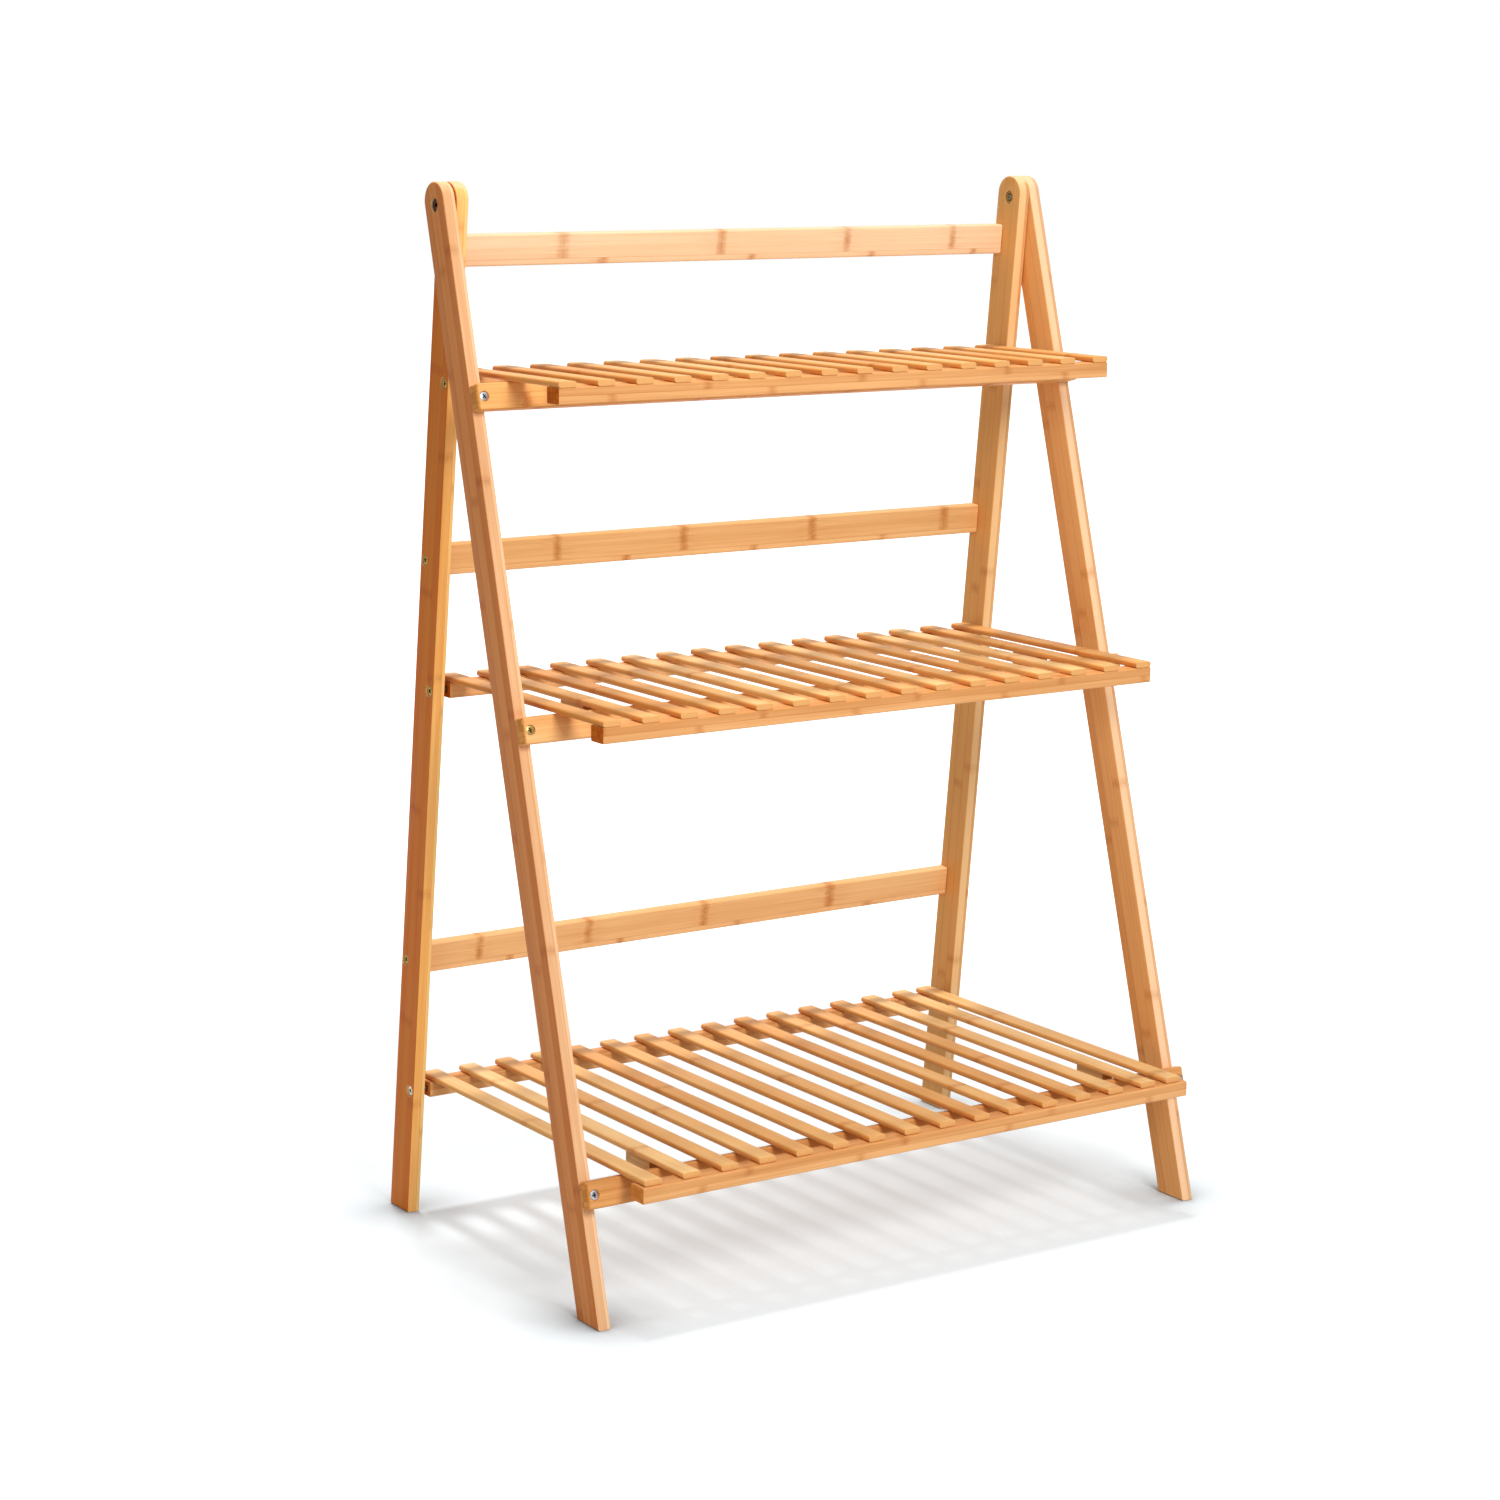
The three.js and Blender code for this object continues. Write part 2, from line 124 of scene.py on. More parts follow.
# fades are given as where the effect is full and where it ends; shares run from 0 to 1
bambooLook = {
    "seedStep": 3.17,
    "stripTone": 0.75,  # how far the glued strips differ from each other
    "turnStep": 5.3,  # scatters the rings of neighbouring strips
    "ringless": 0.17,  # share of the strips without rings
    "wobble": 0.006,
    "bandHalf": 0.0072, "bandCore": 0.25, "lineHalf": 0.0013,
    "fray": (0.004, 0.026), "frayHairs": (0.62, 0.5),
    "brown": (214, 176, 138),
    "bandShare": 0.75, "frayShare": 0.3, "lineShare": 0.45,
    "glue": (0.0001, 0.0006), "glueShare": 0.4,
    "facing": (0.85, 0.6),  # how squarely a face looks along an axis to count as its face
    "endRow": 0.0048, "endColumn": 0.0056,  # glued blocks seen on a cut end
    "endDark": (206, 168, 128), "endBlockShare": 0.7, "endGlueShare": 0.3,
    "dots": 1500.0, "dotFade": (0.12, 0.42), "dotColor": (224, 196, 164),
    "rough": 0.46, "roughGrain": 0.2, "roughEnd": 0.2,
    "bandHeight": 0.8, "glueDepth": 0.6,
    "bump": 0.25, "bumpHeight": 0.0003,
    "shine": 0.1,
}

# noise: scale along, across and through the board, then detail and roughness
bambooNoise = {
    "fibre": ((8.0, 560.0, 560.0), 3.0, 0.6),
    "hair": ((26.0, 1900.0, 1900.0), 2.0, 0.5),
    "streak": ((2.6, 190.0, 190.0), 2.0, 0.5),
    "cloud": ((10.0, 30.0, 30.0), 1.0, 0.5),
    "grain": ((300.0, 900.0, 900.0), 2.0, 0.6),
    "wobble": ((1.0, 240.0, 240.0), 2.0, 0.6),
    "blot": ((60.0, 110.0, 110.0), 1.0, 0.5),
}
toneShares = {"fibre": 1.2, "hair": 0.7, "streak": 1.3, "cloud": 0.5}
mottleShares = {"grain": 1.4, "blot": 1.7}
mottleLeast = 0.1

# strips and layers are counted from a seam, rings come at a spacing that changes along the cane
usualLook = {"ply": 0.0046, "seam": 0.0, "split": 0.0, "spacing": 0.168, "growth": 0.0,
             "phase": 0.0, "plies": 0.0, "blocks": 0.0}


# grain of glued bamboo strips: x runs along the grain, y across, z through the board
def bambooGroup():
    tree = bpy.data.node_groups.new("bambooGrain", "ShaderNodeTree")
    face = tree.interface
    for name in ("Seed", "Strip", "Pale", "Deep", "Broad", "End", "Contrast", "Rings", "Ply",
                 "Seam", "Split", "Spacing", "Growth", "Phase", "Plies", "Blocks"):
        kind = "Color" if name in ("Pale", "Deep", "Broad", "End") else "Float"
        face.new_socket(name, in_out="INPUT", socket_type="NodeSocket" + kind)
    for name, kind in (("Color", "Color"), ("Roughness", "Float"), ("Height", "Float")):
        face.new_socket(name, in_out="OUTPUT", socket_type="NodeSocket" + kind)
    n = Nodes(tree)
    given = n.add("NodeGroupInput").outputs
    coords = n.add("ShaderNodeTexCoord")
    place = n.add("ShaderNodeSeparateXYZ", {0: coords.outputs["Object"]}).outputs
    facing = n.add("ShaderNodeSeparateXYZ", {0: coords.outputs["Normal"]}).outputs
    seedShift = n.math("MULTIPLY", given["Seed"], bambooLook["seedStep"])
    shifted = n.add(
        "ShaderNodeCombineXYZ",
        {0: n.math("ADD", place[0], seedShift), 1: place[1],
         2: n.math("ADD", place[2], seedShift)},
    ).outputs[0]
    noises = {name: n.noise(shifted, *values) for name, values in bambooNoise.items()}

    # each glued strip and layer has a tone, and its own place for the cane's rings
    across = n.math("DIVIDE", n.math("SUBTRACT", place[1], given["Split"]), given["Strip"])
    through = n.math("DIVIDE", n.math("SUBTRACT", place[2], given["Seam"]), given["Ply"])
    strip = n.math("FLOOR", across)
    layer = n.math("FLOOR", through)
    index = n.add("ShaderNodeCombineXYZ", {0: strip, 1: layer, 2: given["Seed"]}).outputs[0]
    chance = n.add("ShaderNodeTexWhiteNoise", {"Vector": index}, noise_dimensions="3D")
    chances = n.add("ShaderNodeSeparateColor", {0: chance.outputs["Color"]}).outputs

    tone = n.math("MULTIPLY", n.math("SUBTRACT", chances[0], 0.5), bambooLook["stripTone"])
    for name, share in toneShares.items():
        part = n.math("MULTIPLY", n.math("SUBTRACT", noises[name], 0.5), share)
        tone = n.math("ADD", tone, part)
    tone = n.math("MULTIPLY", tone, given["Contrast"])
    side = n.math("SUBTRACT", n.math("GREATER_THAN", through, 0.0), 0.5)
    tone = n.math("ADD", tone, n.math("MULTIPLY", side, given["Plies"]))
    tone = n.math("ADD", tone, 0.5, clamp=True)
    color = n.mix(tone, given["Pale"], given["Deep"])

    # rings of the cane: a mottled brown band, a fine dark line and frayed fibres beside it
    wobble = n.math("MULTIPLY", noises["wobble"], bambooLook["wobble"])
    along = n.math("ADD", place[0], wobble)
    stretch = n.math("ADD", 1.0, n.math("MULTIPLY", along, given["Growth"]))
    turn = n.math("DIVIDE", n.math("MULTIPLY", along, stretch), given["Spacing"])
    turn = n.math("ADD", turn, n.math("MULTIPLY", chances[1], bambooLook["turnStep"]))
    turn = n.math("ADD", turn, given["Phase"])
    off = n.math("SUBTRACT", n.math("FRACT", turn), 0.5)
    distance = n.math("MULTIPLY", n.math("ABSOLUTE", off), given["Spacing"])
    ringed = n.math("GREATER_THAN", chances[2], bambooLook["ringless"])
    shown = n.math("MULTIPLY", ringed, given["Rings"])
    grainy, blotchy = [n.math("ADD", mottleLeast, n.math("MULTIPLY", noises[name], share))
                       for name, share in mottleShares.items()]
    mottle = n.math("MULTIPLY", grainy, blotchy, clamp=True)
    half = bambooLook["bandHalf"]
    band = n.fade(distance, half * bambooLook["bandCore"], half)
    band = n.math("MULTIPLY", n.math("MULTIPLY", band, mottle), shown)
    line = n.math("MULTIPLY", n.fade(distance, 0.0, bambooLook["lineHalf"]), shown)
    fray = n.math("MULTIPLY", n.fade(distance, *bambooLook["fray"]),
                  n.fade(noises["hair"], *bambooLook["frayHairs"]))
    fray = n.math("MULTIPLY", fray, shown)
    brown = n.mix(1.0, color, linear(*bambooLook["brown"]), "MULTIPLY")
    color = n.mix(n.math("MULTIPLY", band, bambooLook["bandShare"]), color, brown)
    color = n.mix(n.math("MULTIPLY", fray, bambooLook["frayShare"]), color, brown)
    line = n.math("MULTIPLY", line, noises["blot"])
    color = n.mix(n.math("MULTIPLY", line, bambooLook["lineShare"]), color,
                  n.mix(1.0, brown, brown, "MULTIPLY"))

    # glue lines between the strips and between the layers
    def glueLine(counted, size):
        edge = n.math("ABSOLUTE", n.math("SUBTRACT", n.math("FRACT", counted), 0.5))
        reach = n.math("MULTIPLY", n.math("SUBTRACT", 0.5, edge), size)
        return n.fade(reach, *bambooLook["glue"])

    seam = n.math("MAXIMUM", glueLine(across, given["Strip"]), glueLine(through, given["Ply"]))
    color = n.mix(n.math("MULTIPLY", seam, bambooLook["glueShare"]), color, brown)

    # the broad faces get their own colour: partly another cut of the cane than the narrow edges,
    # partly painted light and shade set per piece
    broad = n.fade(n.math("ABSOLUTE", facing[2]), *bambooLook["facing"])
    color = n.mix(broad, color, n.mix(1.0, color, given["Broad"], "MULTIPLY"))

    # cut ends: blocks of the glued strips, dotted with fibre bundles
    cut = n.fade(n.math("ABSOLUTE", facing[0]), *bambooLook["facing"])
    dots = n.add(
        "ShaderNodeTexVoronoi",
        {"Vector": coords.outputs["Object"], "Scale": bambooLook["dots"]},
        feature="F1",
    ).outputs["Distance"]
    row = n.math("DIVIDE", place[1], bambooLook["endRow"])
    column = n.math("ADD", n.math("DIVIDE", place[2], bambooLook["endColumn"]), 0.5)
    cell = n.add("ShaderNodeCombineXYZ", {0: n.math("FLOOR", row), 1: n.math("FLOOR", column),
                                          2: given["Seed"]}).outputs[0]
    cellChance = n.add("ShaderNodeTexWhiteNoise", {"Vector": cell},
                       noise_dimensions="3D").outputs["Value"]
    darker = n.mix(1.0, given["End"], linear(*bambooLook["endDark"]), "MULTIPLY")
    patchy = n.math("MULTIPLY", cellChance, given["Blocks"])
    block = n.mix(n.math("MULTIPLY", patchy, bambooLook["endBlockShare"]), given["End"], darker)
    dotted = n.mix(1.0, block, linear(*bambooLook["dotColor"]), "MULTIPLY")
    block = n.mix(n.fade(dots, *bambooLook["dotFade"]), block, dotted)
    joint = n.math("MAXIMUM", glueLine(row, bambooLook["endRow"]),
                   glueLine(column, bambooLook["endColumn"]))
    joint = n.math("MULTIPLY", joint, given["Blocks"])
    block = n.mix(n.math("MULTIPLY", joint, bambooLook["endGlueShare"]), block,
                  n.mix(1.0, darker, darker, "MULTIPLY"))
    color = n.mix(cut, color, block)

    grainRough = n.math("MULTIPLY", n.math("SUBTRACT", noises["fibre"], 0.5),
                        bambooLook["roughGrain"])
    rough = n.math("ADD", bambooLook["rough"], grainRough)
    rough = n.math("ADD", rough, n.math("MULTIPLY", cut, bambooLook["roughEnd"]))
    height = n.math("ADD", n.math("MULTIPLY", noises["hair"], 0.5),
                    n.math("MULTIPLY", noises["fibre"], 0.5))
    raised = n.math("MULTIPLY", n.math("MULTIPLY", band, noises["grain"]),
                    bambooLook["bandHeight"])
    height = n.math("ADD", height, raised)
    height = n.math("SUBTRACT", height, n.math("MULTIPLY", seam, bambooLook["glueDepth"]))
    n.add("NodeGroupOutput", {"Color": color, "Roughness": rough, "Height": height})
    return tree


bambooTree = bambooGroup()


# look: the board's tone runs from pale to deep, and broad multiplies it on the broad faces,
# partly as painted light and shade
def bambooMaterial(name, seed, look, tint=(255, 255, 255)):
    material = bpy.data.materials.new(name)
    material.use_nodes = True
    n = Nodes(material.node_tree)
    shader = material.node_tree.nodes["Principled BSDF"]
    group = n.add("ShaderNodeGroup", {}, node_tree=bambooTree)
    for key in ("pale", "deep"):
        color = [c * t / 255 for c, t in zip(look[key], tint)]
        group.inputs[key.title()].default_value = linear(*color)
    group.inputs["Broad"].default_value = linear(*look["broad"])
    group.inputs["End"].default_value = linear(*look["end"])
    group.inputs["Seed"].default_value = seed
    for key in ("strip", "contrast", "rings"):
        group.inputs[key.title()].default_value = look[key]
    for key, usual in usualLook.items():
        group.inputs[key.title()].default_value = look.get(key, usual)
    links = material.node_tree.links
    links.new(group.outputs["Color"], shader.inputs["Base Color"])
    links.new(group.outputs["Roughness"], shader.inputs["Roughness"])
    bump = n.add("ShaderNodeBump", {"Height": group.outputs["Height"],
                                    "Strength": bambooLook["bump"],
                                    "Distance": bambooLook["bumpHeight"]})
    links.new(bump.outputs[0], shader.inputs["Normal"])
    shader.inputs["Specular IOR Level"].default_value = bambooLook["shine"]
    return material


metalLook = {
    "speck": ((900.0, 900.0, 900.0), 3.0, 0.6),  # noise: scale, detail, roughness
    "patch": ((260.0, 260.0, 260.0), 2.0, 0.5),
    # the dark that sets in below the top is painted shade in slots, sockets and recesses
    "recessShadeTop": 0.25,  # share of the depth at which the dark sets in
    "sunkShare": 0.85,
    "tipFade": 0.001,
    "roughRange": 0.2,
    "marks": 26000.0, "markShare": 0.3,
    "bump": 0.25, "bumpHeight": 0.00004,
}


# plated metal with faint turning marks and random darker patches, and painted shade where it goes
# deeper than its top
# tip: another colour for the far end of a long piece, from tipStart below its top
def metalMaterial(name, color, dark, roughness, depth, patchShare=0.35, tip=None, tipStart=0.0):
    material = bpy.data.materials.new(name)
    material.use_nodes = True
    n = Nodes(material.node_tree)
    shader = material.node_tree.nodes["Principled BSDF"]
    coords = n.add("ShaderNodeTexCoord").outputs["Object"]
    place = n.add("ShaderNodeSeparateXYZ", {0: coords}).outputs
    speck = n.noise(coords, *metalLook["speck"])
    patch = n.noise(coords, *metalLook["patch"])
    sunk = n.fade(place[2], -depth, -depth * metalLook["recessShadeTop"])
    # random darker patches, mixed towards the dark colour
    tone = n.mix(n.math("MULTIPLY", patch, patchShare), linear(*color), linear(*dark))
    # painted shade: below its top the metal turns towards the dark colour
    tone = n.mix(n.math("MULTIPLY", sunk, metalLook["sunkShare"]), tone, linear(*dark))
    if tip:
        beyond = n.fade(place[2], -tipStart - metalLook["tipFade"], -tipStart)
        tone = n.mix(beyond, tone, linear(*tip))
    links = material.node_tree.links
    links.new(tone, shader.inputs["Base Color"])
    spread = metalLook["roughRange"]
    rough = n.math("ADD", roughness - spread / 2, n.math("MULTIPLY", speck, spread))
    links.new(rough, shader.inputs["Roughness"])
    radius = n.math("SQRT", n.math("ADD", n.math("POWER", place[0], 2.0),
                                   n.math("POWER", place[1], 2.0)))
    marks = n.math("SINE", n.math("MULTIPLY", radius, metalLook["marks"]))
    height = n.math("ADD", n.math("MULTIPLY", marks, metalLook["markShare"]), speck)
    bump = n.add("ShaderNodeBump", {"Height": height, "Strength": metalLook["bump"],
                                    "Distance": metalLook["bumpHeight"]})
    links.new(bump.outputs[0], shader.inputs["Normal"])
    shader.inputs["Metallic"].default_value = 1.0
    return material


# meshes: every piece is built as a bmesh, then shaded smooth between its sharp edges
smoothAngle = {"board": 38, "turned": 30, "drilled": 35}  # degrees
sameVertex = 1e-7


def finishMesh(name, bm, angle=smoothAngle["board"]):
    bmesh.ops.remove_doubles(bm, verts=bm.verts, dist=sameVertex)
    bmesh.ops.recalc_face_normals(bm, faces=bm.faces)
    mesh = bpy.data.meshes.new(name)
    bm.to_mesh(mesh)
    bm.free()
    for polygon in mesh.polygons:
        polygon.use_smooth = True
    mesh.set_sharp_from_angle(angle=math.radians(angle))
    obj = bpy.data.objects.new(name, mesh)
    bpy.context.scene.collection.objects.link(obj)
    return obj


# a closed skin over a row of rings with equally many points
def skin(rings):
    bm = bmesh.new()
    layers = [[bm.verts.new(p) for p in ring] for ring in rings]
    count = len(rings[0])
    for lower, upper in zip(layers, layers[1:]):
        for i in range(count):
            j = (i + 1) % count
            bm.faces.new((lower[i], lower[j], upper[j], upper[i]))
    bm.faces.new(layers[0])
    bm.faces.new(layers[-1])
    return bm


# steps of a rounded edge, from the face inward: (how far in from the face, inset of the outline)
def edgeSteps(edge, steps):
    result = []
    for k in range(steps + 1):
        angle = k / steps * math.pi / 2
        result.append((edge * (1 - math.cos(angle)), edge * (1 - math.sin(angle))))
    return result


# outline of a board's cross-section, with rounded corners
def boardSection(width, thick, radius, steps=5):
    points = []
    for k, (sy, sz) in enumerate(((1, 1), (-1, 1), (-1, -1), (1, -1))):
        for s in range(steps + 1):
            angle = (k + s / steps) * math.pi / 2
            points.append((
                sy * (width / 2 - radius) + radius * math.cos(angle),
                sz * (thick / 2 - radius) + radius * math.sin(angle),
            ))
    return points


smallestRadius = 0.00015


# a board along x, centred, with rounded long edges and lightly broken ends
def boardMesh(name, size, edge, endEdge):
    length, width, thick = size
    rings = []
    ends = [(-length / 2 + step, inset) for step, inset in edgeSteps(endEdge, steps=3)]
    ends += [(-x, inset) for x, inset in reversed(ends)]
    for x, inset in ends:
        radius = max(edge - inset, smallestRadius)
        section = boardSection(width - 2 * inset, thick - 2 * inset, radius)
        rings.append([Vector((x, y, z)) for y, z in section])
    return finishMesh(name, skin(rings))


# outline of a leg in its own frame: rounded top, level foot, drawn in by inset
def legOutline(halfWidth, topCentre, tilt, inset, steps=28):
    points = []
    for side in (-1, 1):
        across = side * (halfWidth - inset)
        up = (inset - pivot.z - across * math.sin(tilt)) / math.cos(tilt)
        points.append((across, up))
    for k in range(steps + 1):
        angle = k / steps * math.pi
        radius = halfWidth - inset
        points.append((radius * math.cos(angle), topCentre + radius * math.sin(angle)))
    return points


# a round piece about z from rings of (radius, height), from its top down
def turnedMesh(name, rings, steps=48, angle=smoothAngle["turned"]):
    bm = bmesh.new()
    layers = []
    for radius, height in rings:
        layers.append([
            bm.verts.new((radius * math.cos(2 * math.pi * s / steps),
                          radius * math.sin(2 * math.pi * s / steps), height))
            for s in range(steps)
        ])
    for upper, lower in zip(layers, layers[1:]):
        for s in range(steps):
            t = (s + 1) % steps
            bm.faces.new((upper[s], lower[s], lower[t], upper[t]))
    bm.faces.new(layers[0])
    bm.faces.new(layers[-1])
    return finishMesh(name, bm, angle)


# a straight-sided tapering prism about z, for slots and sockets
def prismMesh(name, topPoints, bottomPoints, top, bottom):
    rings = [[Vector((x, y, top)) for x, y in topPoints],
             [Vector((x, y, bottom)) for x, y in bottomPoints]]
    return finishMesh(name, skin(rings))


# cuts the cutters out of a piece and removes them
def drill(obj, cutters):
    for cutter in cutters:
        cut = obj.modifiers.new("cut", "BOOLEAN")
        cut.operation = "DIFFERENCE"
        cut.object = cutter
        cut.solver = "EXACT"
    bpy.context.view_layer.update()
    graph = bpy.context.evaluated_depsgraph_get()
    mesh = bpy.data.meshes.new_from_object(obj.evaluated_get(graph))
    obj.modifiers.clear()
    obj.data = mesh
    for polygon in mesh.polygons:
        polygon.use_smooth = True
    mesh.set_sharp_from_angle(angle=math.radians(smoothAngle["drilled"]))
    for cutter in cutters:
        bpy.data.objects.remove(cutter)
    return obj


# places a piece with its x and y axes along the two given directions
def axesMatrix(along, across, origin):
    through = along.cross(across)
    matrix = Matrix((along, across, through)).transposed().to_4x4()
    return Matrix.Translation(origin) @ matrix


# turns a piece made about z so that its top faces the given way
def facingMatrix(direction, point):
    turn = axisZ.rotation_difference(direction).to_matrix().to_4x4()
    return Matrix.Translation(point) @ turn


# puts a finished piece in place, gives it its material, hangs it on its body's empty and hides
# the CAD nodes it stands for
def settle(obj, matrix, body, nodes, material):
    obj.matrix_world = matrix
    obj.data.materials.clear()
    obj.data.materials.append(material)
    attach(obj, body)
    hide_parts(*nodes)
    print("made", obj.name)
    return obj


# holes for the screws, a little wider than their heads and shanks
shanks = {"cross": 0.002, "back": 0.0022, "shelf": 0.0025}
countersink = {
    "rim": 0.0005,
    "over": 0.006,  # how far the cutter stands out of the wood
    "flareTop": 0.0001,
    "gap": {"cross": 0.0003, "back": 0.0006, "shelf": 0.0006},
    "flare": {"cross": 0.0002, "back": 0.0006, "shelf": 0.0006},
}


# a screw's place from its CAD node: its top faces the given way
def screwPlace(node, matrix, direction):
    low, high = extent(node, matrix)
    middle = (low + high) / 2
    axis = max(range(3), key=lambda i: abs(direction[i]))
    top = middle.copy()
    top[axis] = high[axis] if direction[axis] > 0 else low[axis]
    other = (axis + 1) % 3
    return {
        "matrix": matrix @ facingMatrix(direction, top),
        "length": high[axis] - low[axis],
        "head": (high[other] - low[other]) / 2,
    }


def screwHole(place, kind):
    gap, flare, shank = countersink["gap"][kind], countersink["flare"][kind], shanks[kind]
    head = place["head"] + gap
    cone = -countersink["rim"] - (place["head"] - shank)
    hole = turnedMesh("hole", [
        (head + flare, countersink["over"]),
        (head + flare, -countersink["flareTop"]),
        (head, -countersink["rim"] - flare * 0.5),
        (shank + gap, cone),
        (shank + gap, -place["length"] - gap),
    ])
    hole.matrix_world = place["matrix"]
    return hole


def plainHole(matrix, radius, top, bottom):
    hole = turnedMesh("hole", [(radius, top), (radius, bottom)])
    hole.matrix_world = matrix
    return hole


crossPlaces = {}
backPlaces = {}
shelfPlaces = {}
for tier in tiers:
    for word, side in sides.items():
        outward = Vector((side, 0, 0))
        crossPlaces[tier, word] = screwPlace(
            f"cross_rail_{tier}_screw_{word}", frontFrame, Vector((0, -1, 0)))
        backPlaces[tier, word] = screwPlace(f"back_rail_{tier}_screw_{word}", rearFrame, outward)
        shelfPlaces[tier, word] = screwPlace(f"shelf_{tier}_pivot_screw_{word}", level, outward)


# legs
legEdge = 0.0015
legLayers = {"ply": 0.022, "seam": 0.0022, "strip": 0.013, "split": 0.0064, "spacing": 0.205,
             "end": (246, 206, 158), "contrast": 0.9, "rings": 0.5}
# broad: the side faces' colour is partly the cane's cut and partly painted shade, set per leg for
# how light falls on its sides
legLook = {
    "front_left": {**legLayers, "pale": (248, 204, 160), "deep": (226, 170, 120),
                   "broad": (238, 190, 138), "seed": 1.3},
    "front_right": {**legLayers, "pale": (250, 206, 162), "deep": (222, 166, 116),
                    "broad": (250, 224, 178), "plies": 0.8, "seed": 4.1},
    "rear_left": {**legLayers, "pale": (255, 210, 134), "deep": (248, 173, 88),
                  "broad": (222, 161, 80), "plies": -0.4, "seed": 7.7},
    "rear_right": {**legLayers, "pale": (244, 200, 143), "deep": (219, 161, 101),
                   "broad": (240, 220, 184), "plies": 0.8, "seed": 12.9},
}
hingeHoles = {"bolt": 0.0033, "boltHead": 0.0063, "nut": 0.0062, "headDepth": 0.0051,
              "nutDepth": 0.0045, "over": 0.002}


def makeLeg(kind, word):
    node = f"{kind}_leg_{word}"
    matrix, sign = (frontFrame, -1) if kind == "front" else (rearFrame, 1)
    tilt = sign * math.radians(lean[kind])
    over = hingeHoles["over"]
    low, high = extent(node, matrix)
    halfWidth = (high.y - low.y) / 2
    topCentre = high.z - halfWidth
    rings = []
    rounding = edgeSteps(legEdge, steps=4)
    steps = [(low.x + step, inset) for step, inset in rounding]
    steps += [(high.x - step, inset) for step, inset in reversed(rounding)]
    middle = (low.x + high.x) / 2
    for x, inset in steps:
        outline = legOutline(halfWidth, topCentre, tilt, inset)
        rings.append([Vector((-up, across, x - middle)) for across, up in outline])
    leg = finishMesh(node + "_board", skin(rings))
    place = matrix @ axesMatrix(-axisZ, axisY, Vector((middle, 0, 0)))
    leg.matrix_world = place
    side = sides[word]
    hinge = hingeShift @ facingMatrix(Vector((side, 0, 0)), Vector((0, 0, 0)))
    outer, inner = max(abs(low.x), abs(high.x)), min(abs(low.x), abs(high.x))
    cutters = [plainHole(hinge, hingeHoles["bolt"], outer + over, inner - over)]
    if kind == "front":
        cutters.append(plainHole(hinge, hingeHoles["boltHead"], outer + over,
                                 outer - hingeHoles["headDepth"]))
        cutters += [screwHole(crossPlaces[tier, word], "cross") for tier in tiers]
    else:
        cutters.append(plainHole(hinge, hingeHoles["nut"], inner + hingeHoles["nutDepth"],
                                 inner - over))
        cutters += [screwHole(backPlaces[tier, word], "back") for tier in tiers]
        cutters += [screwHole(shelfPlaces[tier, word], "shelf") for tier in tiers]
    drill(leg, cutters)
    look = legLook[f"{kind}_{word}"]
    material = bambooMaterial(node + "_bamboo", look["seed"], look)
    settle(leg, place, kind + "_frame", [node], material)


for kind in lean:
    for word in sides:
        makeLeg(kind, word)

# rails: cross rails on the front legs, back rails between the rear legs, shelf rails
crossEdges = {"edge": 0.002, "endEdge": 0.0022, "strip": 0.0135, "split": 0.002, "ply": 0.012,
              "seam": -0.006, "broad": (255, 250, 242), "end": (250, 178, 92),
              "contrast": 1.0, "rings": 0.3, "blocks": 1.0}
backEdges = {"edge": 0.002, "endEdge": 0.001, "strip": 0.0235, "split": -0.0085, "ply": 0.02,
             "seam": -0.009, "broad": (255, 255, 255), "end": (206, 148, 84),
             "contrast": 0.9, "rings": 1.0}
shelfEdges = {"edge": 0.0016, "endEdge": 0.0008, "strip": 0.0105, "ply": 0.0105,
              "pale": (240, 182, 122), "deep": (214, 150, 90), "broad": (255, 250, 242),
              "contrast": 1.1, "rings": 0.6, "blocks": 0.8}
railLook = {
    "cross_top": {**crossEdges, "pale": (246, 186, 118), "deep": (222, 150, 84),
                  "rings": 1.0, "phase": 0.047},
    "cross_mid": {**crossEdges, "pale": (252, 202, 142), "deep": (230, 164, 100)},
    "cross_low": {**crossEdges, "pale": (240, 182, 118), "deep": (206, 144, 84)},
    "back_top": {**backEdges, "pale": (255, 222, 184), "deep": (242, 200, 156),
                 "spacing": 0.153, "growth": 0.54},
    "back_mid": {**backEdges, "pale": (246, 200, 142), "deep": (224, 170, 108),
                 "spacing": 0.1476, "growth": -0.221, "phase": 0.359},
    "back_low": {**backEdges, "pale": (255, 208, 150), "deep": (238, 180, 118),
                 "spacing": 0.1404, "growth": -0.433, "phase": 0.489},
    # the dark, saturated end colour of the shelf rails is partly end grain and partly painted
    # shade on their ends
    "shelf_top": {**shelfEdges, "end": (214, 112, 16)},
    "shelf_mid": {**shelfEdges, "end": (214, 112, 16)},
    "shelf_low": {**shelfEdges, "end": (234, 154, 72)},
}
# number that sets a board's grain; the front rails of the shelves have their own
railSeeds = {"cross": {"top": 2.4, "mid": 7.7, "low": 13.0},
             "back": {"top": 3.2, "mid": 9.3, "low": 15.4},
             "shelf": {"top": 5.9, "mid": 10.6, "low": 15.3},
             "front": {"top": 8.8, "mid": 14.6, "low": 21.3}}


# a straight board that fills a CAD node's box in the given frame
def makeBoard(name, node, matrix, along, across, body, look, seed, cutters,
              box=None, tint=(255, 255, 255)):
    low, high = box or extent(node, matrix)
    size = high - low
    middle = (low + high) / 2
    lengths = [abs(size.dot(v)) for v in (along, across, along.cross(across))]
    board = boardMesh(name, lengths, look["edge"], look["endEdge"])
    place = matrix @ axesMatrix(along, across, middle)
    board.matrix_world = place
    if cutters:
        drill(board, cutters)
    material = bambooMaterial(name + "_bamboo", seed, look, tint)
    return settle(board, place, body, [node], material)


